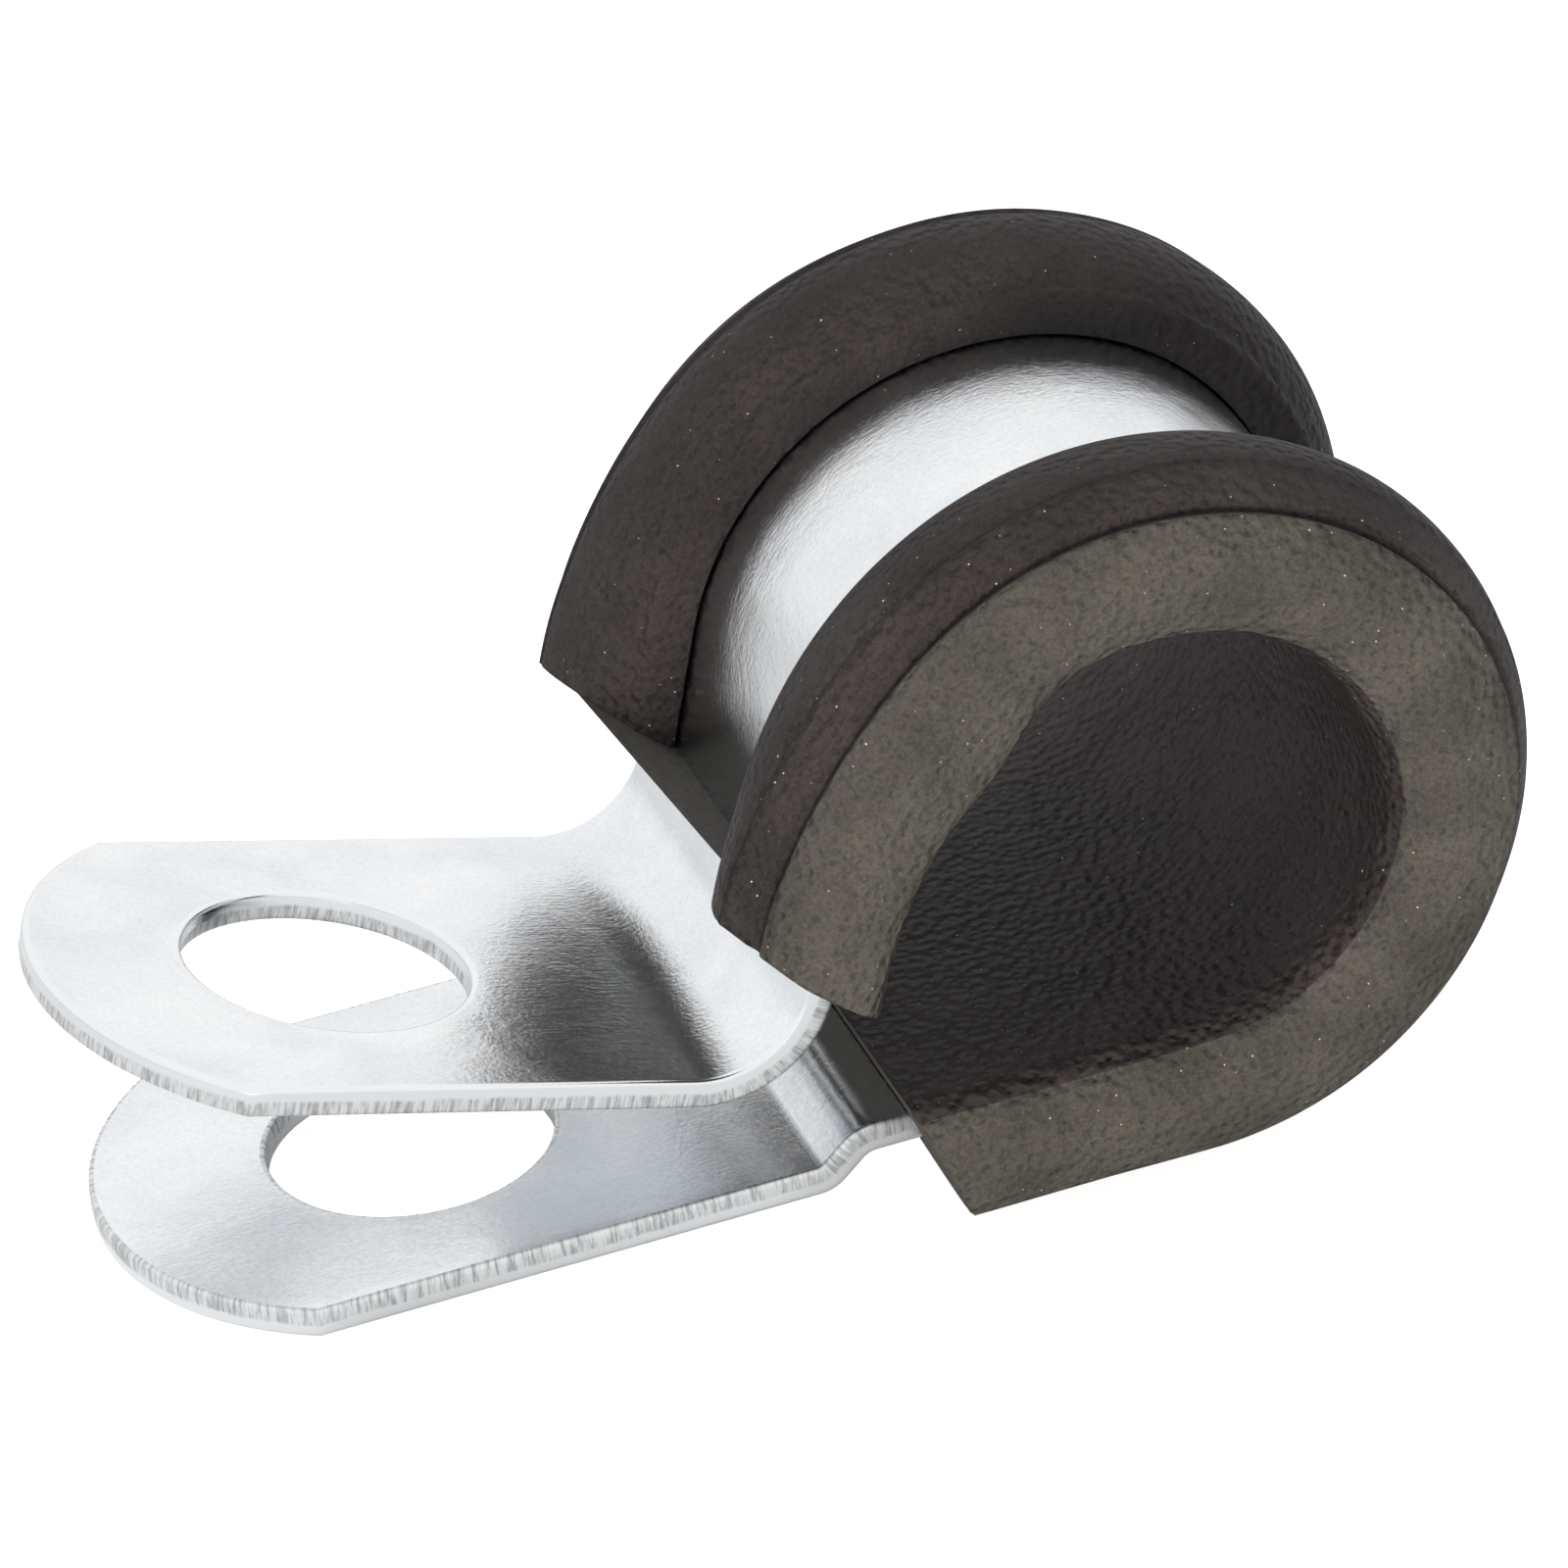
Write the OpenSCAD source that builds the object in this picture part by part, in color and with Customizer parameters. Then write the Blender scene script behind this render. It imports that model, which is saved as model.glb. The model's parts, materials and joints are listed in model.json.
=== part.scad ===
// Rubber-lined P clip: one bent steel band with two bolt ears, and one extruded
// rubber liner that wraps the edges of the band around its loop.
// Frame: the underside of the lower ear lies on Z = 0 and its hole is centred on the
// origin. The loop stands towards +X, and the width of the band runs along Y.

/* [Band] */
// Width of the steel band
band_w = 12; // [9:0.5:18]
// Thickness of the steel band
band_t = 0.7; // [0.5:0.05:1]
// Depth by which each face of the band is drawn in where it is bent tightly
bend_draw = 0.003; // [0.002:0.001:0.01]

/* [Loop] */
// Diameter of the round part of the lined bore
bore_d = 10; // [8:0.5:16]
// Distance from the lower hole to the nearest side of the round loop
loop_reach = 9.6; // [9.4:0.1:14]
// How much larger the radius of the sprung-open flank is than that of the loop
flank_extra = 0.5; // [0.2:0.1:1]
// Straight length of the neck, from the flank down to the upper bend
neck_run = 4.1; // [3.5:0.1:5]

/* [Ears] */
// Diameter of the bolt holes
hole_d = 6.6; // [4:0.1:7]
// Radius of the rounded ear tips
tip_r = 7.1; // [6.2:0.1:10]
// Distance from the lower hole to its ear tip
lower_tip = 7.4; // [6:0.1:9]
// Distance from the upper hole to its ear tip
upper_tip = 6.9; // [6:0.1:9]
// Distance from the upper hole to the upper bend
upper_hole_reach = 6.9; // [5.5:0.1:9]
// Radius of the upper bend on its hollow side
upper_bend_r = 2.25; // [1.5:0.05:2.5]

/* [Step] */
// Height by which the band steps up from the lower ear to the loop
step_h = 0.75; // [0.6:0.05:1.2]
// Distance from the lower hole to the step
step_at = 7.8; // [6:0.1:8]
// Slope of the step
step_slope = 40; // [35:1:50]
// Inner radius of the first bend of the step
step_first_r = 0.3; // [0.2:0.05:0.4]
// Inner radius of the second bend of the step
step_second_r = 0.5; // [0.3:0.05:0.6]

/* [Liner] */
// Thickness of rubber between the band and the bore
web_t = 1.2; // [1:0.05:2]
// Clearance between the band and the channel that holds it
fit_gap = 0.05; // [0.03:0.01:0.1]
// Width by which each side of the liner stands out past the band
side_out = 2.3; // [2:0.05:2.6]
// Radius of the bulging sides
side_r = 2.6; // [2.5:0.05:3]
// Depth of the widest place of the sides below the outer face of the band
side_depth = 0.3; // [0.1:0.05:0.6]
// Radius of the softened edges of the bore
bore_edge_r = 1; // [0.8:0.05:1.2]
// Width by which each lip reaches in over the band
lip_reach = 2.3; // [1.5:0.05:3]
// Height of the crown of the lips over the band
lip_h = 1.95; // [1.7:0.05:2.2]
// Radius of the crown of the lips
lip_r = 2.6; // [2.4:0.05:3]
// Distance from the edge of the band in to the crown of the lips
crown_in = 0.2; // [0.1:0.05:0.5]
// Height over the band at which the sides meet the lips
crease_h = 1.25; // [1:0.05:1.4]
// Radius of the groove along that crease
groove_r = 0.18; // [0.1:0.01:0.25]

/* [Liner ends] */
// Length of bare neck between the upper bend and the liner
upper_bare = 1.1; // [0.8:0.1:2]
// Slant of the liner's upper end, with its lips drawn back
upper_slant = 25; // [10:1:30]
// Length of bare band between the step and the liner
lower_bare = 1.1; // [0.9:0.1:2]
// Slant of the liner's lower end, with its lips drawn back
lower_slant = 20; // [10:1:25]

/* [Hidden] */
$fn = 96;

// Every radius and offset is measured from the outer face of the band
loop_r = bore_d / 2 + web_t + fit_gap + band_t;
flank_r = loop_r + flank_extra;
loop_x = loop_reach + loop_r;
loop_z = step_h + loop_r;
band_half = band_w / 2;

// The upper part springs open around the centre of the loop, by a slope of 7 in 24
sprung = atan2(7, 24);
neck_foot = -flank_extra - neck_run;
bend_x = -flank_r - upper_bend_r;

// Step: two bends with a straight slope between them
step_outer_r = step_first_r + band_t;
step_turn_rise = (step_outer_r + step_second_r) * (1 - cos(step_slope));
step_straight = (step_h - step_turn_rise) / sin(step_slope);
step_end = step_at + (step_outer_r + step_second_r) * sin(step_slope) + step_straight * cos(step_slope);

// Section of the liner: heights over the outer face of the band, and widths
bore_level = -band_t - fit_gap - web_t;
side_y = band_half + side_out - side_r;
edge_y = side_y + sqrt(pow(side_r, 2) - pow(bore_level + bore_edge_r + side_depth, 2)) - bore_edge_r;
lip_y = band_half - crown_in;
lip_inner = band_half - lip_reach;
past = 1;
overlap = 0.01;

// Ends of the liner along the outer face of the band
liner_start = step_end + lower_bare;
liner_end = neck_foot + upper_bare;

// Stretch of a swept section around the point (x, z), from an angle onwards
module turn(x, z, r, from, angle) {
    translate([x, 0, z])
        rotate([90, 0, 0])
            rotate([0, 0, from])
                rotate_extrude(angle = angle)
                    translate([r, 0])
                        children();
}

// Straight stretch of a swept section that runs towards +X, with its outer face down
module run_along(x, z, length) {
    translate([x, 0, z])
        rotate([0, 90, 0])
            linear_extrude(height = length)
                children();
}

// Straight stretch of a swept section that runs towards -X, with its outer face down
module run_back(x, z, length) {
    translate([x, 0, z])
        mirror([1, 0, 0])
            rotate([0, 90, 0])
                linear_extrude(height = length)
                    children();
}

// Straight stretch of a swept section that runs down, with its outer face towards -X
module run_down(x, z, length) {
    translate([x, 0, z])
        rotate([0, 180, 0])
            linear_extrude(height = length)
                children();
}

// Section of the band, with its thickness inside the reference face
module band_section() {
    translate([-band_t, -band_half])
        square([band_t, band_w]);
}

// Section of the band in its tight bends, drawn in on all four sides
module bend_section() {
    translate([-band_t + bend_draw, -band_half + bend_draw])
        square([band_t - 2 * bend_draw, band_w - 2 * bend_draw]);
}

// Plate of one ear, with its hole at the origin and its bend towards +X
module ear(tip, reach) {
    linear_extrude(height = band_t)
        difference() {
            union() {
                translate([tip_r - tip, -band_half])
                    square([reach + tip - tip_r, band_w]);
                intersection() {
                    translate([tip_r - tip, 0])
                        circle(r = tip_r);
                    translate([-tip - past, -band_half])
                        square([tip_r + past, band_w]);
                }
            }
            circle(d = hole_d);
        }
}

// Two bends and the slope between them
module step_up() {
    turn(step_at, step_outer_r, step_outer_r, 270, step_slope)
        bend_section();
    translate([step_at, 0, step_outer_r])
        rotate([0, -step_slope, 0])
            run_along(-overlap, -step_outer_r, step_straight + 2 * overlap)
                band_section();
    turn(step_end, step_h - step_second_r, step_second_r + band_t, 90, step_slope)
        bend_section();
}

// Moves the upper part, drawn around the centre of the closed loop, to its sprung place
module spring_open() {
    translate([loop_x, 0, loop_z])
        rotate([0, sprung, 0])
            children();
}

module steel_band() {
    color("gainsboro")
        union() {
            ear(lower_tip, step_at + overlap);
            step_up();
            run_back(loop_x, step_h, loop_x - step_end + overlap)
                band_section();
            turn(loop_x, loop_z, loop_r, -90, 90)
                band_section();
            spring_open() {
                turn(0, 0, loop_r, 0, 90)
                    band_section();
                turn(0, -flank_extra, flank_r, 90, 90)
                    band_section();
                run_down(-flank_r, -flank_extra, neck_run)
                    band_section();
                turn(bend_x, neck_foot, upper_bend_r + band_t, 270, 90)
                    band_section();
                translate([bend_x - upper_hole_reach, 0, neck_foot - upper_bend_r - band_t])
                    ear(upper_tip, upper_hole_reach);
            }
        }
}

// One half of the liner's section, before the channel is cut
module liner_half() {
    difference() {
        union() {
            translate([bore_level, 0])
                square([crease_h - bore_level, edge_y]);
            translate([bore_level + bore_edge_r, edge_y])
                circle(r = bore_edge_r);
            intersection() {
                translate([-side_depth, side_y])
                    circle(r = side_r);
                translate([bore_level + bore_edge_r, 0])
                    square([crease_h - bore_level - bore_edge_r, side_y + side_r + past]);
            }
            intersection() {
                translate([lip_h - lip_r, lip_y])
                    circle(r = lip_r);
                translate([crease_h - groove_r, lip_inner])
                    square([lip_h + past, side_y + side_r - lip_inner]);
            }
        }
        translate([fit_gap, -past])
            square([lip_h + past, lip_inner + past]);
        translate([crease_h, lip_y + sqrt(pow(lip_r, 2) - pow(crease_h - lip_h + lip_r, 2))])
            circle(r = groove_r);
    }
}

module liner_section() {
    difference() {
        union() {
            liner_half();
            mirror([0, 1])
                liner_half();
        }
        translate([-band_t - fit_gap, -band_half - fit_gap])
            square([band_t + 2 * fit_gap, band_w + 2 * fit_gap]);
    }
}

// Slab that trims an end of the liner, slanted so that the lips are drawn back
module end_trim(slant) {
    thick = lip_h - bore_level;
    rotate([0, slant, 0])
        translate([bore_level - past, -band_w, 0])
            cube([thick + 2 * past, 2 * band_w, thick]);
}

module rubber_liner() {
    tail = past - bore_level * tan(max(lower_slant, upper_slant));
    color("darkslategray")
        difference() {
            union() {
                run_back(loop_x, step_h, loop_x - liner_start + tail)
                    liner_section();
                turn(loop_x, loop_z, loop_r, -90, 90)
                    liner_section();
                spring_open() {
                    turn(0, 0, loop_r, 0, 90)
                        liner_section();
                    turn(0, -flank_extra, flank_r, 90, 90)
                        liner_section();
                    run_down(-flank_r, -flank_extra, neck_run)
                        liner_section();
                }
            }
            spring_open()
                translate([-flank_r, 0, liner_end])
                    rotate([0, 180, 0])
                        end_trim(upper_slant);
            translate([liner_start, 0, step_h])
                rotate([0, -90, 0])
                    mirror([1, 0, 0])
                        end_trim(lower_slant);
        }
}

steel_band();
rubber_liner();
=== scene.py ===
import json
import math

import bmesh
import bpy
from mathutils import Matrix, Vector, noise


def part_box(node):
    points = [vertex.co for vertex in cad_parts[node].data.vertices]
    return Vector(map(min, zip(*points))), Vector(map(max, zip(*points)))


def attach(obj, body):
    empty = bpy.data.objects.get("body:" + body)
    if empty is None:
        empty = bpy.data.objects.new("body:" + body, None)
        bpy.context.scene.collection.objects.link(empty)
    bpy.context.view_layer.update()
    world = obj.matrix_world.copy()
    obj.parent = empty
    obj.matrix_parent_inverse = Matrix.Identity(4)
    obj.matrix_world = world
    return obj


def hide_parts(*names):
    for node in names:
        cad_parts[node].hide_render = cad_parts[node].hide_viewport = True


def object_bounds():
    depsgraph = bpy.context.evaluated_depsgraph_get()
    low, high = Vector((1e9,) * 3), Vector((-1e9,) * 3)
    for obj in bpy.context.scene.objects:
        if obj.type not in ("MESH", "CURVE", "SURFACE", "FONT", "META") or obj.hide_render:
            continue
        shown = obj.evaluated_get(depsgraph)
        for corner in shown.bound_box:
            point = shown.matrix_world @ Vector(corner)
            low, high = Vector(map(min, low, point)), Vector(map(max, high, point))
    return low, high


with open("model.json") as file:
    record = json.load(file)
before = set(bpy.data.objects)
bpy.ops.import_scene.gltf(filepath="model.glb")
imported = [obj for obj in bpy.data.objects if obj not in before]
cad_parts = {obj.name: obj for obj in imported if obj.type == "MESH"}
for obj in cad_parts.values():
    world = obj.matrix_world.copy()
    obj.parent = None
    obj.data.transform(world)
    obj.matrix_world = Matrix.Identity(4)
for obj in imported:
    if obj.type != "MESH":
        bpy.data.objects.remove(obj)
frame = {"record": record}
cad_low, cad_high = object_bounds()

MM = 0.001

# The strip of steel, in millimetres. Its path runs along its outer face, from the lower to the upper ear.
BAND_T = 0.7
LOOP_R = 6.95
FLANK_R = 7.45
NECK_RUN = 4.1
UPPER_BEND_R = 2.25
TIP_R = 7.1
LOWER_TIP = 7.4
UPPER_TIP = 6.9
UPPER_HOLE_REACH = 6.9
STEP_AT = 7.8
STEP_H = 0.75
STEP_SLOPE = 40
STEP_FIRST_R = 1.0
STEP_SECOND_R = 0.5

# The liner, in millimetres. A height is over the strip's outer face, and y runs across the strip.
LINER_START = 10.34
UPPER_BARE = 1.1
WEB = 1.2
GAP = 0.05
LINER_HALF = 8.3
SIDE_R = 2.6
SIDE_DEPTH = 0.3
BORE_EDGE_R = 1.0
LIP_H = 1.95
LIP_R = 2.6
LIP_Y = 5.8
LIP_INNER = 3.7
LIP_EDGE_R = 0.25
CREASE_H = 1.25
GROOVE_R = 0.18

mounts = {mount["name"]: mount for mount in frame["record"]["mounts"]}
band_low, band_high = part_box("steel_band")
band_half = (band_high[1] - band_low[1]) / 2 / MM
hole_r = mounts["lower_hole"]["dims"]["r_mm"]
loop_x = band_high[0] / MM - LOOP_R
upper_axis = Vector(mounts["upper_hole"]["axis"])
sprung = math.degrees(math.atan2(upper_axis.x, upper_axis.z))


def smoothstep(low, high, x):
    t = min(1.0, max(0.0, (x - low) / (high - low)))
    return t * t * (3 - 2 * t)


def mix(a, b, t):
    return a + (b - a) * t


def steps(a, b, count):
    """count + 1 even steps from a to b, both included."""
    return [mix(a, b, i / count) for i in range(count + 1)]


def running_length(points):
    """How far along an outline each of its points lies."""
    lengths = [0.0]
    for a, b in zip(points, points[1:]):
        lengths.append(lengths[-1] + math.dist(a, b))
    return lengths


# ---------------------------------------------------------------- path of the strip

class Path:
    """The outer face of the strip in the XZ plane: straight and bent stretches, in millimetres."""

    def __init__(self, s, x, z):
        self.parts = []
        self.s, self.x, self.z, self.heading = s, x, z, 0.0

    def line(self, length):
        return self._go_on(length, 0.0)

    def bend(self, radius, turn):
        """turn is positive to the left, which is the inner side of the loop."""
        return self._go_on(radius * math.radians(abs(turn)), math.copysign(1 / radius, turn))

    def _go_on(self, length, curvature):
        self.parts.append((self.s, length, self.x, self.z, self.heading, curvature))
        self.x, self.z, self.heading = self._at(self.parts[-1], length)
        self.s += length
        return self

    @staticmethod
    def _at(part, distance):
        _, _, x, z, heading, curvature = part
        a = math.radians(heading)
        if curvature == 0:
            return x + distance * math.cos(a), z + distance * math.sin(a), heading
        b = a + curvature * distance
        return (x + (math.sin(b) - math.sin(a)) / curvature,
                z - (math.cos(b) - math.cos(a)) / curvature,
                math.degrees(b))

    def at(self, s):
        """(x, z, heading) at s. Before its start and past its end, the path goes on as it was."""
        part = self.parts[0]
        for candidate in self.parts:
            if s >= candidate[0]:
                part = candidate
        return self._at(part, s - part[0])

    def point(self, s, y, inward):
        """The point at s along the path, y across it and so far inward of the outer face, in metres."""
        x, z, heading = self.at(s)
        a = math.radians(heading + 90)
        return Vector((x + inward * math.cos(a), y, z + inward * math.sin(a))) * MM

    def stations(self, start, end, line_step, turn_step):
        """Places from start to end, line_step mm apart, or turn_step degrees apart where it bends."""
        found = [start]
        for s, length, _, _, _, curvature in self.parts:
            low, high = max(start, s), min(end, s + length)
            if high - low < 1e-6:
                continue
            step = line_step if curvature == 0 else math.radians(turn_step) / abs(curvature)
            found += steps(low, high, max(1, math.ceil((high - low) / step)))[1:]
        return found


def strip_path():
    """The strip's path, and where along it the liner starts and ends and the upper hole lies."""
    step_rise = (STEP_FIRST_R + STEP_SECOND_R) * (1 - math.cos(math.radians(STEP_SLOPE)))
    step_straight = (STEP_H - step_rise) / math.sin(math.radians(STEP_SLOPE))
    strip = Path(-LOWER_TIP, -LOWER_TIP, 0.0)
    strip.line(LOWER_TIP + STEP_AT)
    strip.bend(STEP_FIRST_R, STEP_SLOPE).line(step_straight).bend(STEP_SECOND_R, -STEP_SLOPE)
    first = strip.s + LINER_START - strip.x
    strip.line(loop_x - strip.x)
    strip.bend(LOOP_R, 180 - sprung).bend(FLANK_R, 90).line(NECK_RUN)
    last = strip.s - UPPER_BARE
    strip.bend(UPPER_BEND_R, -90)
    hole = strip.s + UPPER_HOLE_REACH
    strip.line(UPPER_HOLE_REACH + UPPER_TIP)
    return strip, first, last, hole


path, liner_start, liner_end, upper_hole = strip_path()


# ---------------------------------------------------------------- meshes

# A closed ring's UV map goes on by this much past its last point
RING_CLOSES = 0.1


class Patches:
    """Grids of points, in metres, that are joined into one mesh with a UV map, in millimetres."""

    def __init__(self):
        self.bm = bmesh.new()
        self.uv = self.bm.loops.layers.uv.new("UVMap")

    def grid(self, rows, uvs, material=0, wrap=False):
        """Fills between rows. material is a slot, or a list of them by column. wrap closes each row."""
        verts = [[self.bm.verts.new(point) for point in row] for row in rows]
        columns = len(rows[0])
        for i in range(len(rows) - 1):
            for j in range(columns if wrap else columns - 1):
                after = (j + 1) % columns
                corners = [(i, j), (i, after), (i + 1, after), (i + 1, j)]
                face = self.bm.faces.new([verts[row][column] for row, column in corners])
                face.smooth = True
                face.material_index = material[j] if isinstance(material, list) else material
                for corner, (row, column) in zip(face.loops, corners):
                    u, v = uvs[row][column]
                    if wrap and after == 0 and column == 0:
                        u, v = uvs[row][-1][0] + RING_CLOSES, uvs[row][-1][1]
                    corner[self.uv].uv = (u, v)
        return verts

    def cap(self, ring, material):
        """Closes an end with a flat cut."""
        face = self.bm.faces.new(ring)
        face.material_index = material
        bmesh.ops.triangulate(self.bm, faces=[face])

    def mesh(self, name):
        bmesh.ops.remove_doubles(self.bm, verts=self.bm.verts, dist=2e-7)
        bmesh.ops.recalc_face_normals(self.bm, faces=self.bm.faces)
        mesh = bpy.data.meshes.new(name)
        self.bm.to_mesh(mesh)
        self.bm.free()
        return mesh


def place(name, mesh, materials):
    obj = bpy.data.objects.new(name, mesh)
    bpy.context.scene.collection.objects.link(obj)
    for material in materials:
        mesh.materials.append(material)
    return obj


# ---------------------------------------------------------------- steel band

FACE, SHEARED = 0, 1

# The strip's rounded and sheared edge, as (inset, inward), from its outer face to its inner one
EDGE = [(0.16, 0.0), (0.10, 0.004), (0.055, 0.018), (0.02, 0.045), (0.004, 0.09), (0.0, 0.15),
        (0.0, 0.30), (0.0, 0.42), (0.006, 0.56), (0.02, 0.63), (0.05, 0.675), (0.09, 0.694), (0.14, 0.70)]
FULL_WIDTH = [inset for inset, _ in EDGE].index(0.0)

# How far from its hole an ear's own mesh ends
LOWER_CUT = 6.2
UPPER_CUT = 6.0

# Divisions across the strip, along an ear's side, round its tip, and from its hole to its rim
ACROSS, ALONG_EAR, ROUND_TIP, HOLE_TO_RIM = 16, 20, 48, 9
BAND_LINE_STEP, BAND_TURN_STEP = 0.8, 4

# Where each sheared wall lies in the UV map, well apart, so that no two show the same streaks
HOLE_WALL_U = 50
TIP_WALL_U = 100
LONG_WALL_U, LONG_WALLS_APART = 200, 50


def ear_outline(tip, cut, inset):
    """An ear in plan as (s, y), counter-clockwise from the cut. Its hole is at 0 and its tip towards -s."""
    half = band_half - inset
    centre, radius = TIP_R - tip, TIP_R - inset
    corner_a = math.asin(half / radius)
    corner = centre - radius * math.cos(corner_a)
    points = [(cut, y) for y in steps(-half, half, ACROSS)[:-1]]
    points += [(s, half) for s in steps(cut, corner, ALONG_EAR)[:-1]]
    points += [(centre - radius * math.cos(a), radius * math.sin(a))
               for a in steps(corner_a, -corner_a, ROUND_TIP)[:-1]]
    points += [(s, -half) for s in steps(corner, cut, ALONG_EAR)[:-1]]
    return points


def add_ear(patches, hole_at, side, tip, cut):
    """One ear of the strip. side is 1 if its tip is towards lower s, and -1 if it is towards higher s."""
    angles = [math.atan2(y, s) for s, y in ear_outline(tip, cut, 0)]

    def point(s, y, inward):
        return path.point(hole_at + side * s, y, inward)

    def hole(inset):
        return [((hole_r + inset) * math.cos(a), (hole_r + inset) * math.sin(a)) for a in angles]

    # the two faces
    for inset, inward in (EDGE[0], EDGE[-1]):
        rim = list(zip(hole(inset), ear_outline(tip, cut, inset)))
        rings = [[(mix(a[0], b[0], t), mix(a[1], b[1], t)) for a, b in rim]
                 for t in steps(0, 1, HOLE_TO_RIM)]
        rows = [[point(s, y, inward) for s, y in ring] for ring in rings]
        uvs = [[(hole_at + side * s, y) for s, y in ring] for ring in rings]
        patches.grid(rows, uvs, FACE, wrap=True)
    # the wall of the hole
    rows = [[point(s, y, inward) for s, y in hole(inset)] for inset, inward in EDGE]
    uvs = [[(HOLE_WALL_U + a * hole_r, inward) for a in angles] for _, inward in EDGE]
    patches.grid(rows, uvs, SHEARED, wrap=True)
    # the wall round the tip, from one side of the cut to the other
    walls = [ear_outline(tip, cut, inset)[ACROSS:] + [(cut, inset - band_half)] for inset, _ in EDGE]
    rows = [[point(s, y, inward) for s, y in wall] for wall, (_, inward) in zip(walls, EDGE)]
    along = running_length(walls[FULL_WIDTH])
    uvs = [[(side * TIP_WALL_U + u, inward) for u in along] for _, inward in EDGE]
    patches.grid(rows, uvs, SHEARED)


def band_mesh():
    patches = Patches()
    add_ear(patches, 0.0, 1, LOWER_TIP, LOWER_CUT)
    add_ear(patches, upper_hole, -1, UPPER_TIP, UPPER_CUT)
    stations = path.stations(LOWER_CUT, upper_hole - UPPER_CUT, BAND_LINE_STEP, BAND_TURN_STEP)
    for inset, inward in (EDGE[0], EDGE[-1]):
        ys = steps(inset - band_half, band_half - inset, ACROSS)
        rows = [[path.point(s, y, inward) for y in ys] for s in stations]
        patches.grid(rows, [[(s, y) for y in ys] for s in stations], FACE)
    for side in (-1, 1):
        rows = [[path.point(s, side * (band_half - inset), inward) for inset, inward in EDGE]
                for s in stations]
        wall_u = LONG_WALL_U + LONG_WALLS_APART * side
        patches.grid(rows, [[(s + wall_u, inward) for _, inward in EDGE] for s in stations], SHEARED)
    return patches.mesh("steel_band_skin")


# ---------------------------------------------------------------- rubber liner

SKIN, CUT_END, SIDE = 0, 1, 2

BORE_LEVEL = -(BAND_T + GAP + WEB)
CHANNEL_FLOOR = -(BAND_T + GAP)
SIDE_Y = LINER_HALF - SIDE_R
channel_y = band_half + GAP

# The fine line where the mould parts, on each lip: a ridge with a dip beside it
PARTING_Y = 6.7
RIDGE_H, RIDGE_W = 0.05, 0.08
DIP_H, DIP_W, DIP_ASIDE = 0.07, 0.09, 0.2

# The lip's crown starts this far above the crease. Its inner wall has points at these parts of the way
# down to a small foot on the strip, whose points are (height, y past the wall).
CROWN_OVER_CREASE = 0.05
LIP_WALL_END = 0.12
LIP_WALL_PARTS = (0.3, 0.6, 0.85)
LIP_FOOT = [(0.07, 0.02), (GAP, 0.08)]

# Divisions of the section, and the stretches in degrees of its two smallest arcs
BORE_STEPS, EDGE_STEPS, SIDE_STEPS, GROOVE_STEPS, CROWN_STEPS, LIP_EDGE_STEPS = 16, 10, 16, 6, 26, 5
CHANNEL_TOP_STEPS, CHANNEL_WALL_STEPS, CHANNEL_FLOOR_STEPS = 4, 3, 5
GROOVE_ARC = (100, 250)
LIP_EDGE_ARC = (-20, -90)

# The ends are cut on a slant, which fades out over this length
LOWER_SLANT = math.tan(math.radians(20))
UPPER_SLANT = math.tan(math.radians(25))
SLANT_FADES = 5

# Towards the upper end both sides roll outwards, and the outer edges of the lips lean in. Each pair of
# numbers is where that sets in and where it is full, across the strip or as a height.
FLARE = 0.75
FLARE_LENGTH = 7.5
FLARE_CURVE = 1.3
FLARE_BODY_Y = (5.2, 7.4)
FLARE_LIP_Y = (3.2, 6.8)
LEAN_IN = 0.45
LEAN_H = (0.2, 1.4)
LEAN_Y = (6.0, 7.4)

# Where the flank ends, the rubber on the bore's side is pushed together
BORE_SAG = 0.55
SAG_CENTRE = 6.0
SAG_REACH = 5.0
SAG_DEPTH = (0.8, 1.6)

# Slow unevenness of the moulding: how high, how often along, across and in height, and how far from
# the level of the strip's middle it sets in and is full. A point this near the channel's walls has none.
UNEVEN = 0.03
UNEVEN_SCALE = (0.35, 0.5, 0.5)
UNEVEN_LEVEL = -BAND_T / 2
UNEVEN_DEPTH = (0.40, 0.85)
CHANNEL_NEAR = 0.01

LINER_LINE_STEP, LINER_TURN_STEP = 0.16, 1.3


def arc(centre, radius, start, end, count):
    """Points round centre, which is (height, y). At 0 degrees they are above it, and at 90 towards +y."""
    return [(centre[0] + radius * math.cos(a), centre[1] + radius * math.sin(a))
            for a in steps(math.radians(start), math.radians(end), count)]


def parted(h, y):
    """The height of a lip's crown, with its parting line."""
    ridge = RIDGE_H * math.exp(-((y - PARTING_Y) / RIDGE_W) ** 2)
    dip = DIP_H * math.exp(-((y - PARTING_Y + DIP_ASIDE) / DIP_W) ** 2)
    return h + ridge - dip


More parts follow.
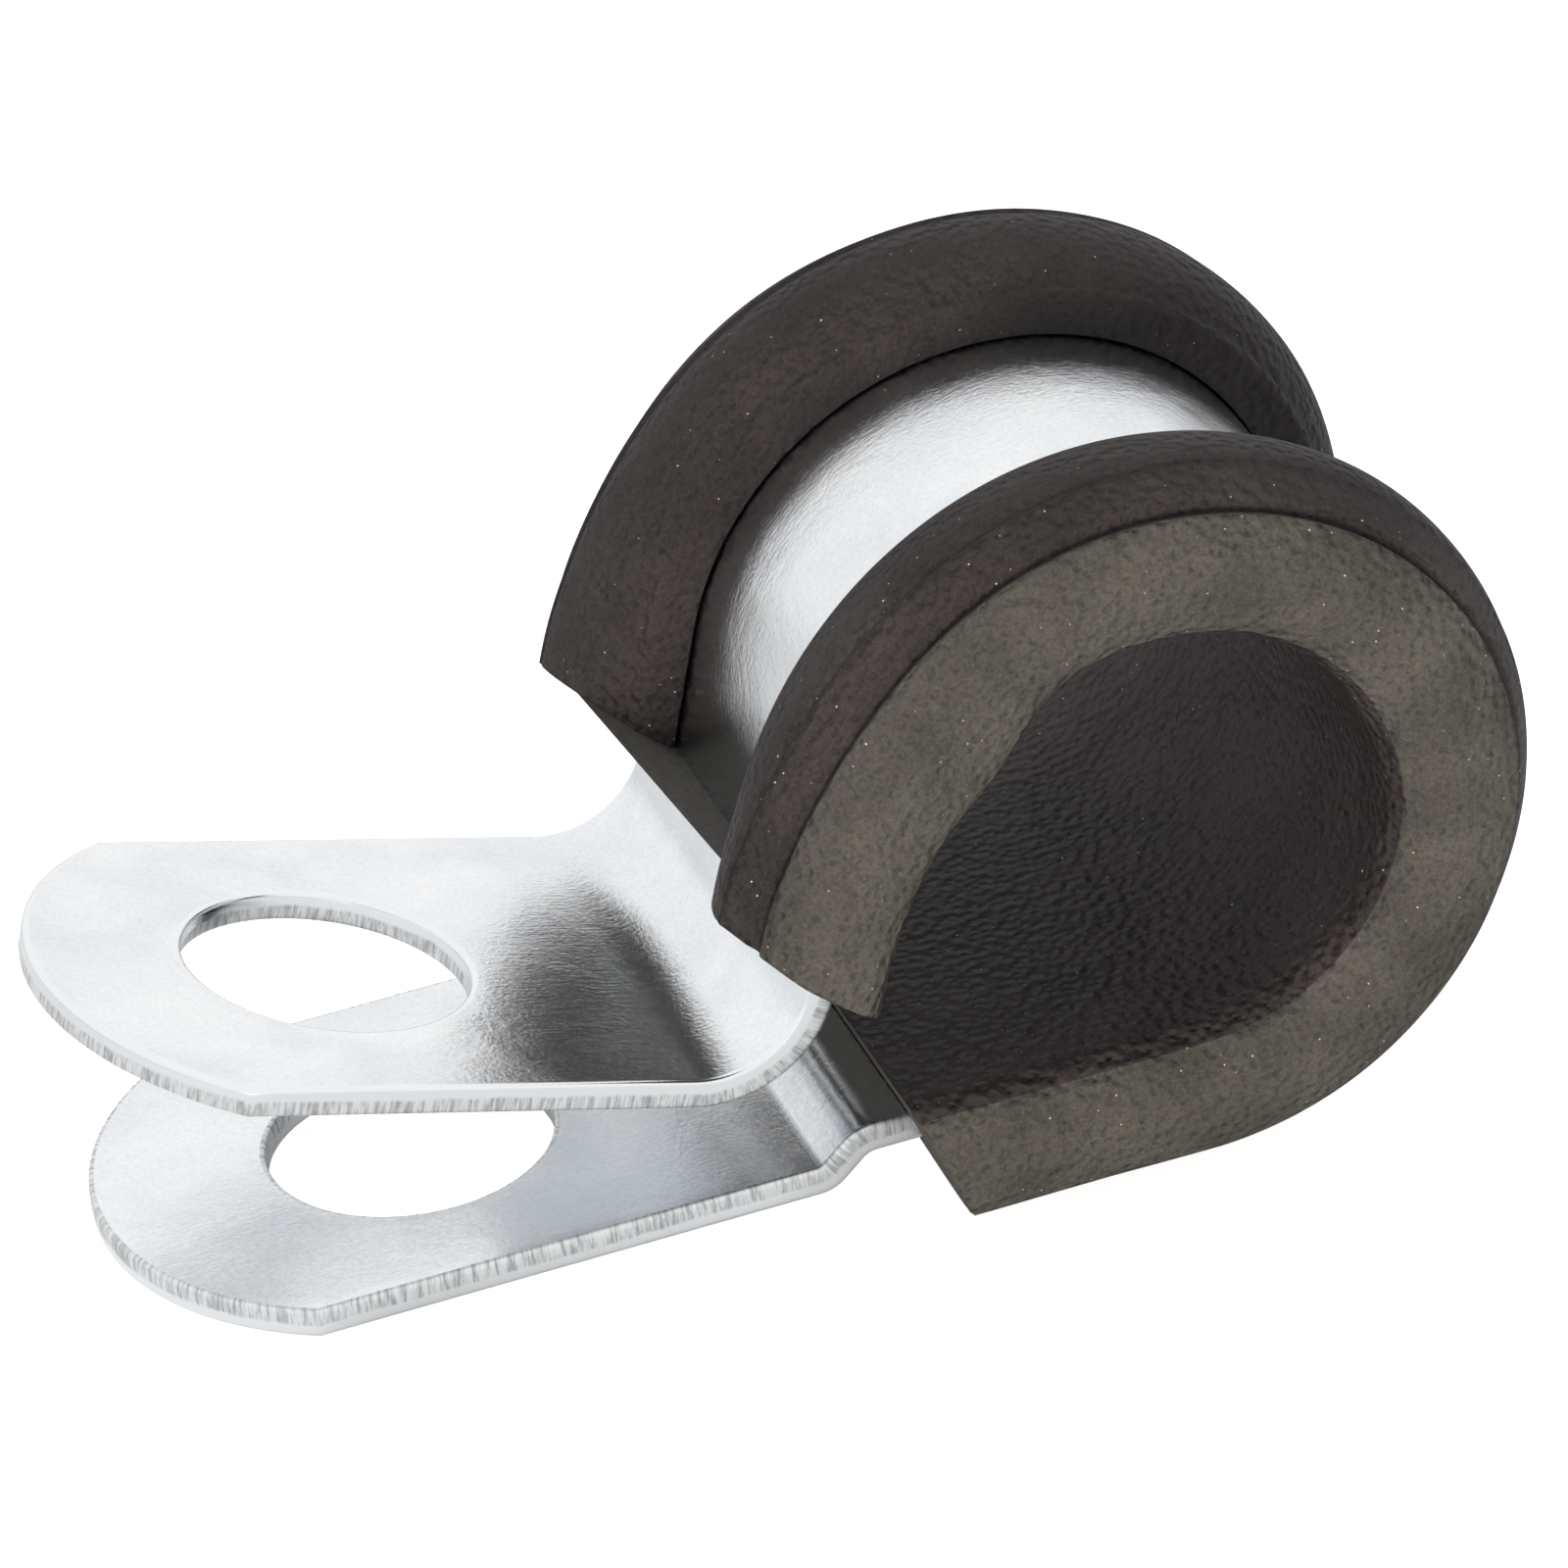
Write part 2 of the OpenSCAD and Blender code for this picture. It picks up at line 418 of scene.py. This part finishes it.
def half_section():
    """Half the section as (height, y), from the bore round to the channel, and its outer side's faces."""
    edge_rise = BORE_LEVEL + BORE_EDGE_R + SIDE_DEPTH
    edge_y = SIDE_Y + math.sqrt(SIDE_R ** 2 - edge_rise ** 2) - BORE_EDGE_R
    points = [(BORE_LEVEL, y) for y in steps(0, edge_y, BORE_STEPS)[:-1]]
    # the outer side starts halfway round the bore's edge and ends at the groove
    side_from = len(points) + EDGE_STEPS // 2
    points += arc((BORE_LEVEL + BORE_EDGE_R, edge_y), BORE_EDGE_R, 180, 90, EDGE_STEPS)
    side_a = [math.degrees(math.acos(rise / SIDE_R))
              for rise in (edge_rise, CREASE_H - GROOVE_R / 2 + SIDE_DEPTH)]
    points += arc((-SIDE_DEPTH, SIDE_Y), SIDE_R, *side_a, SIDE_STEPS)[1:]
    side_to = len(points)

    lip_centre = LIP_H - LIP_R
    crease_y = LIP_Y + math.sqrt(LIP_R ** 2 - (CREASE_H - lip_centre) ** 2)
    points += arc((CREASE_H, crease_y), GROOVE_R, *GROOVE_ARC, GROOVE_STEPS)[1:-1]
    crown_rise = CREASE_H + CROWN_OVER_CREASE - lip_centre
    crown_from = math.degrees(math.atan2(crease_y - GROOVE_R - LIP_Y, crown_rise))
    crown_to = -math.degrees(math.asin((LIP_Y - LIP_INNER - LIP_EDGE_R) / LIP_R))
    crown = arc((lip_centre, LIP_Y), LIP_R, crown_from, crown_to, CROWN_STEPS)
    points += [(parted(h, y), y) for h, y in crown]
    wall_top = points[-1][0] - LIP_EDGE_R
    points += arc((wall_top, LIP_INNER + LIP_EDGE_R), LIP_EDGE_R, *LIP_EDGE_ARC, LIP_EDGE_STEPS)
    points += [(mix(wall_top, LIP_WALL_END, t), LIP_INNER) for t in LIP_WALL_PARTS]
    points += [(h, LIP_INNER + y) for h, y in LIP_FOOT]

    points += [(GAP, y) for y in steps(LIP_INNER, channel_y, CHANNEL_TOP_STEPS)[1:]]
    points += [(h, channel_y) for h in steps(GAP, CHANNEL_FLOOR, CHANNEL_WALL_STEPS)[1:]]
    points += [(CHANNEL_FLOOR, y) for y in steps(channel_y, 0, CHANNEL_FLOOR_STEPS)[1:-1]]
    return points, range(side_from, side_to)


def section():
    """The whole closed section as (height, y), and the material slot of each of its faces."""
    half, side = half_section()
    points = half + [(CHANNEL_FLOOR, 0.0)] + [(h, -y) for h, y in reversed(half[1:])]
    slots = [SKIN] * len(points)
    for j in side:
        slots[j] = slots[-1 - j] = SIDE
    return points, slots


def liner_point(s, h, y):
    """Where the point (h, y) of the section lies at s along the strip, in metres."""
    to_end = liner_end - s
    across = abs(y)

    low = 1 - smoothstep(0, SLANT_FADES, s - liner_start)
    high = 1 - smoothstep(0, SLANT_FADES, to_end)
    slanted_s = s + h * (LOWER_SLANT * low - UPPER_SLANT * high)

    roll = (1 - smoothstep(0, FLARE_LENGTH, to_end)) ** FLARE_CURVE
    flare_y = FLARE_BODY_Y if h <= GAP else FLARE_LIP_Y
    moved_h = h + FLARE * roll * smoothstep(*flare_y, across)
    lean = LEAN_IN * roll * smoothstep(*LEAN_H, h) * smoothstep(*LEAN_Y, across)
    moved_y = y - math.copysign(lean, y)

    sag = 1 - smoothstep(0, SAG_REACH, abs(to_end - SAG_CENTRE))
    moved_h -= BORE_SAG * sag * smoothstep(*SAG_DEPTH, -h)

    level_with_channel = CHANNEL_FLOOR - CHANNEL_NEAR <= h <= GAP + CHANNEL_NEAR
    if not (level_with_channel and across <= channel_y + CHANNEL_NEAR):
        bumps = noise.noise(Vector((slanted_s, y, h)) * Vector(UNEVEN_SCALE))
        moved_h += UNEVEN * bumps * smoothstep(*UNEVEN_DEPTH, abs(h - UNEVEN_LEVEL))
    return path.point(slanted_s, moved_y, -moved_h)


def liner_mesh():
    patches = Patches()
    points, slots = section()
    around = running_length(points)
    stations = path.stations(liner_start, liner_end, LINER_LINE_STEP, LINER_TURN_STEP)
    rows = [[liner_point(s, h, y) for h, y in points] for s in stations]
    verts = patches.grid(rows, [[(s, v) for v in around] for s in stations], slots, wrap=True)
    patches.cap(verts[0], CUT_END)
    patches.cap(verts[-1], CUT_END)
    return patches.mesh("rubber_liner_skin")


# ---------------------------------------------------------------- materials

# Object coordinates are in metres, and the UV map is in millimetres along and across
TO_MM = (1000, 1000, 1000)

ZINC_DULL, ZINC_BRIGHT = (0.80, 0.83, 0.86), (0.92, 0.93, 0.94)
CUT_STEEL = (0.86, 0.88, 0.90)
TORN_DARK, TORN_BRIGHT = (0.40, 0.41, 0.42), (0.82, 0.83, 0.84)
SKIN_DARK, SKIN_LIGHT = (0.024, 0.0195, 0.0188), (0.038, 0.031, 0.030)
SIDE_DARK, SIDE_LIGHT = (0.046, 0.041, 0.035), (0.074, 0.067, 0.056)
END_DARK, END_LIGHT = (0.030, 0.027, 0.025), (0.085, 0.078, 0.068)
DUST = (0.50, 0.44, 0.36)


class Nodes:
    """Builds one material's nodes. A value is a number, a colour, or another node's output."""

    def __init__(self, name):
        self.material = bpy.data.materials.new(name)
        self.material.use_nodes = True
        self.tree = self.material.node_tree
        self.shader = self.tree.nodes["Principled BSDF"]

    def add(self, kind, **attributes):
        node = self.tree.nodes.new(kind)
        for name, value in attributes.items():
            setattr(node, name, value)
        return node

    def feed(self, socket, value):
        if isinstance(value, bpy.types.NodeSocket):
            self.tree.links.new(value, socket)
        elif socket.type == "RGBA":
            socket.default_value = (*value, 1)
        else:
            socket.default_value = value

    def finish(self, **values):
        """Feeds the shader's sockets, which are named with _ for a space, and returns the material."""
        for name, value in values.items():
            self.feed(self.shader.inputs[name.replace("_", " ")], value)
        return self.material

    def coords(self, scale, source="Object"):
        mapping = self.add("ShaderNodeMapping")
        self.feed(mapping.inputs["Scale"], scale)
        self.feed(mapping.inputs["Vector"], self.add("ShaderNodeTexCoord").outputs[source])
        return mapping.outputs["Vector"]

    def noise(self, vector, scale, detail, roughness, distortion=0.0):
        node = self.add("ShaderNodeTexNoise")
        self.feed(node.inputs["Vector"], vector)
        self.feed(node.inputs["Scale"], scale)
        self.feed(node.inputs["Detail"], detail)
        self.feed(node.inputs["Roughness"], roughness)
        self.feed(node.inputs["Distortion"], distortion)
        return node.outputs["Fac"]

    def cells(self, vector, scale, feature="F1"):
        node = self.add("ShaderNodeTexVoronoi", feature=feature)
        self.feed(node.inputs["Vector"], vector)
        self.feed(node.inputs["Scale"], scale)
        return node.outputs["Distance"]

    def ramp(self, value, *stops):
        """Each stop is (position, colour or grey)."""
        node = self.add("ShaderNodeValToRGB")
        for element, (position, colour) in zip(node.color_ramp.elements, stops):
            element.position = position
            element.color = (*colour, 1) if isinstance(colour, tuple) else (colour, colour, colour, 1)
        self.feed(node.inputs["Fac"], value)
        return node.outputs["Color"]

    def math(self, operation, a, b):
        node = self.add("ShaderNodeMath", operation=operation)
        self.feed(node.inputs[0], a)
        self.feed(node.inputs[1], b)
        return node.outputs["Value"]

    def blend(self, a, b, factor, kind="MIX"):
        node = self.add("ShaderNodeMix", data_type="RGBA", blend_type=kind)
        # the sockets of a colour mix have the same names as the hidden ones of its other types
        factor_in, a_in, b_in = (node.inputs[index] for index in (0, 6, 7))
        self.feed(factor_in, factor)
        self.feed(a_in, a)
        self.feed(b_in, b)
        return node.outputs[2]

    def bump(self, height, strength, distance_mm, normal=None):
        node = self.add("ShaderNodeBump")
        self.feed(node.inputs["Height"], height)
        self.feed(node.inputs["Strength"], strength)
        self.feed(node.inputs["Distance"], distance_mm * MM)
        if normal is not None:
            self.feed(node.inputs["Normal"], normal)
        return node.outputs["Normal"]


def zinc_material():
    """Bright zinc plating: cloudy, with a fine grain and the marks of rolling along the strip."""
    n = Nodes("zinc_plated_face")
    mm = n.coords(TO_MM)
    cloud = n.noise(mm, scale=0.35, detail=4, roughness=0.55, distortion=0.6)
    grain = n.noise(mm, scale=9, detail=5, roughness=0.65)
    rolled = n.noise(n.coords((0.25, 2.2, 1), "UV"), scale=6, detail=4, roughness=0.6)
    tone = n.ramp(cloud, (0.3, ZINC_DULL), (0.7, ZINC_BRIGHT))
    tone = n.blend(tone, n.ramp(grain, (0.3, 0.80), (0.6, 1.0)), 0.5, "MULTIPLY")
    rough = n.math("ADD", n.math("MULTIPLY", grain, 0.18), n.math("MULTIPLY", cloud, 0.10))
    normal = n.bump(cloud, 0.30, 0.10)
    normal = n.bump(rolled, 0.15, 0.03, normal)
    normal = n.bump(grain, 0.40, 0.02, normal)
    return n.finish(Base_Color=tone, Metallic=1.0, Roughness=rough, Normal=normal)


def sheared_material():
    """The strip's cut edge: smooth where the blade went in, and torn into streaks over the rest."""
    n = Nodes("sheared_edge")
    uv = n.coords((1, 1, 1), "UV")
    streaks = n.noise(n.coords((4.5, 0.5, 1), "UV"), scale=2.2, detail=5, roughness=0.7)
    ragged = n.noise(uv, scale=1.2, detail=3, roughness=0.6)
    parts = n.add("ShaderNodeSeparateXYZ")
    n.feed(parts.inputs["Vector"], uv)
    depth = n.math("ADD", parts.outputs["Y"], n.math("MULTIPLY", ragged, 0.16))
    torn = n.ramp(depth, (0.36, 0.0), (0.44, 1.0))
    tone = n.blend(CUT_STEEL, n.ramp(streaks, (0.36, TORN_DARK), (0.56, TORN_BRIGHT)), torn)
    rough = n.ramp(torn, (0.0, 0.16), (1.0, 0.42))
    return n.finish(Base_Color=tone, Metallic=1.0, Roughness=rough, Normal=n.bump(streaks, 0.25, 0.02))


def rubber_material(name, dark, light):
    """Moulded rubber with a leathery grain, faint marks along its length and specks of dust."""
    n = Nodes(name)
    mm = n.coords(TO_MM)
    leather = n.cells(mm, 4.2, "SMOOTH_F1")
    fine = n.noise(mm, scale=11, detail=4, roughness=0.6)
    patchy = n.noise(mm, scale=0.4, detail=3, roughness=0.5)
    drawn = n.noise(n.coords((0.18, 1.6, 1), "UV"), scale=5, detail=4, roughness=0.6)
    tone = n.ramp(patchy, (0.35, dark), (0.7, light))
    tone = n.blend(tone, n.ramp(fine, (0.35, 0.55), (0.65, 1.0)), 0.8, "MULTIPLY")
    tone = n.blend(tone, n.ramp(drawn, (0.35, 0.85), (0.65, 1.08)), 0.6, "MULTIPLY")
    speck = n.math("LESS_THAN", n.cells(mm, 3.0), 0.06)
    tone = n.blend(tone, DUST, n.math("MULTIPLY", speck, n.math("GREATER_THAN", fine, 0.5)))
    rough = n.math("ADD", n.math("MULTIPLY", fine, 0.25), 0.42)
    normal = n.bump(leather, 0.9, 0.22)
    normal = n.bump(fine, 0.7, 0.06, normal)
    normal = n.bump(drawn, 0.15, 0.05, normal)
    return n.finish(Base_Color=tone, Roughness=rough, Specular_IOR_Level=0.22, Normal=normal)


def cut_rubber_material():
    """The liner's cut ends, which are duller and rougher than its moulded skin."""
    n = Nodes("rubber_cut_end")
    torn = n.noise(n.coords(TO_MM), scale=6, detail=5, roughness=0.7)
    tone = n.ramp(torn, (0.3, END_DARK), (0.7, END_LIGHT))
    return n.finish(Base_Color=tone, Roughness=0.75, Normal=n.bump(torn, 0.6, 0.06))


# ---------------------------------------------------------------- pieces

band = place("steel_band_visual", band_mesh(), [zinc_material(), sheared_material()])
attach(band, "root")
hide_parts("steel_band")

liner = place("rubber_liner_visual", liner_mesh(), [
    rubber_material("rubber_skin", SKIN_DARK, SKIN_LIGHT),
    cut_rubber_material(),
    rubber_material("rubber_side", SIDE_DARK, SIDE_LIGHT),
])
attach(liner, "root")
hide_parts("rubber_liner")


# ---------------------------------------------------------------- studio, in metres

FLOOR_HALF = 3.0
FLOOR_GLOW = 0.72
WORLD_LIGHT = 0.20
WORLD_WHITE = 1.0
LAMPS_AT = Vector((loop_x * MM / 2, 0, 0.006))

CAMERA_TARGET = Vector((9.82, 0, 7.06)) * MM
CAMERA_AWAY = 302.2 * MM
CAMERA_AZIMUTH, CAMERA_ELEVATION, CAMERA_ROLL = (math.radians(a) for a in (-15.18, 30.85, 7.54))
CAMERA_LENS, CAMERA_SENSOR = 306.4, 36


def area_light(name, at, size, power, colour):
    light = bpy.data.lights.new(name, "AREA")
    light.shape = "DISK"
    light.size = size
    light.energy = power
    light.color = colour
    obj = bpy.data.objects.new(name, light)
    obj.location = at
    obj.rotation_euler = (LAMPS_AT - Vector(at)).to_track_quat("-Z", "Y").to_euler()
    obj.visible_glossy = False
    bpy.context.scene.collection.objects.link(obj)


def build_floor():
    """A matt white floor, which glows for the camera alone."""
    n = Nodes("white_floor")
    glow = n.math("MULTIPLY", n.add("ShaderNodeLightPath").outputs["Is Camera Ray"], FLOOR_GLOW)
    material = n.finish(Base_Color=(0.9, 0.9, 0.9), Roughness=0.9, Specular_IOR_Level=0.0,
                        Emission_Color=(1, 1, 1), Emission_Strength=glow)
    corners = [(x * FLOOR_HALF, y * FLOOR_HALF, cad_low[2])
               for x, y in ((-1, -1), (1, -1), (1, 1), (-1, 1))]
    mesh = bpy.data.meshes.new("floor")
    mesh.from_pydata(corners, [], [(0, 1, 2, 3)])
    place("floor", mesh, [material])


def build_world():
    """White to the camera and in reflections, and a soft fill for everything else."""
    world = bpy.data.worlds.new("studio")
    bpy.context.scene.world = world
    world.use_nodes = True
    nodes, links = world.node_tree.nodes, world.node_tree.links
    rays = nodes.new("ShaderNodeLightPath")
    seen = nodes.new("ShaderNodeMath")
    seen.operation = "MAXIMUM"
    links.new(rays.outputs["Is Camera Ray"], seen.inputs[0])
    links.new(rays.outputs["Is Glossy Ray"], seen.inputs[1])
    strength = nodes.new("ShaderNodeMapRange")
    strength.inputs["To Min"].default_value = WORLD_LIGHT
    strength.inputs["To Max"].default_value = WORLD_WHITE
    links.new(seen.outputs["Value"], strength.inputs["Value"])
    background = nodes["Background"]
    background.inputs["Color"].default_value = (1, 1, 1, 1)
    links.new(strength.outputs["Result"], background.inputs["Strength"])


def build_camera():
    """Looks down at the clip from in front, past the open ears, and is tilted a little."""
    flat = math.cos(CAMERA_ELEVATION)
    forward = Vector((-math.sin(CAMERA_AZIMUTH) * flat, math.cos(CAMERA_AZIMUTH) * flat,
                      -math.sin(CAMERA_ELEVATION)))
    right = forward.cross(Vector((0, 0, 1))).normalized()
    up = right.cross(forward)
    tilted_right = right * math.cos(CAMERA_ROLL) - up * math.sin(CAMERA_ROLL)
    tilted_up = up * math.cos(CAMERA_ROLL) + right * math.sin(CAMERA_ROLL)
    camera = bpy.data.cameras.new("camera")
    camera.lens = CAMERA_LENS
    camera.sensor_width = CAMERA_SENSOR
    camera.clip_start = 0.01
    camera.clip_end = 10
    obj = bpy.data.objects.new("camera", camera)
    rotation = Matrix((tilted_right, tilted_up, -forward)).transposed()
    obj.matrix_world = Matrix.Translation(CAMERA_TARGET - forward * CAMERA_AWAY) @ rotation.to_4x4()
    bpy.context.scene.collection.objects.link(obj)
    bpy.context.scene.camera = obj


build_floor()
build_world()
build_camera()
area_light("key", (-0.10, -0.44, 0.05), 0.16, 4.6, (1.0, 0.985, 0.95))
area_light("top", (-0.12, 0.10, 0.40), 0.20, 1.0, (0.97, 0.985, 1.0))

bpy.context.scene.view_settings.view_transform = "Standard"
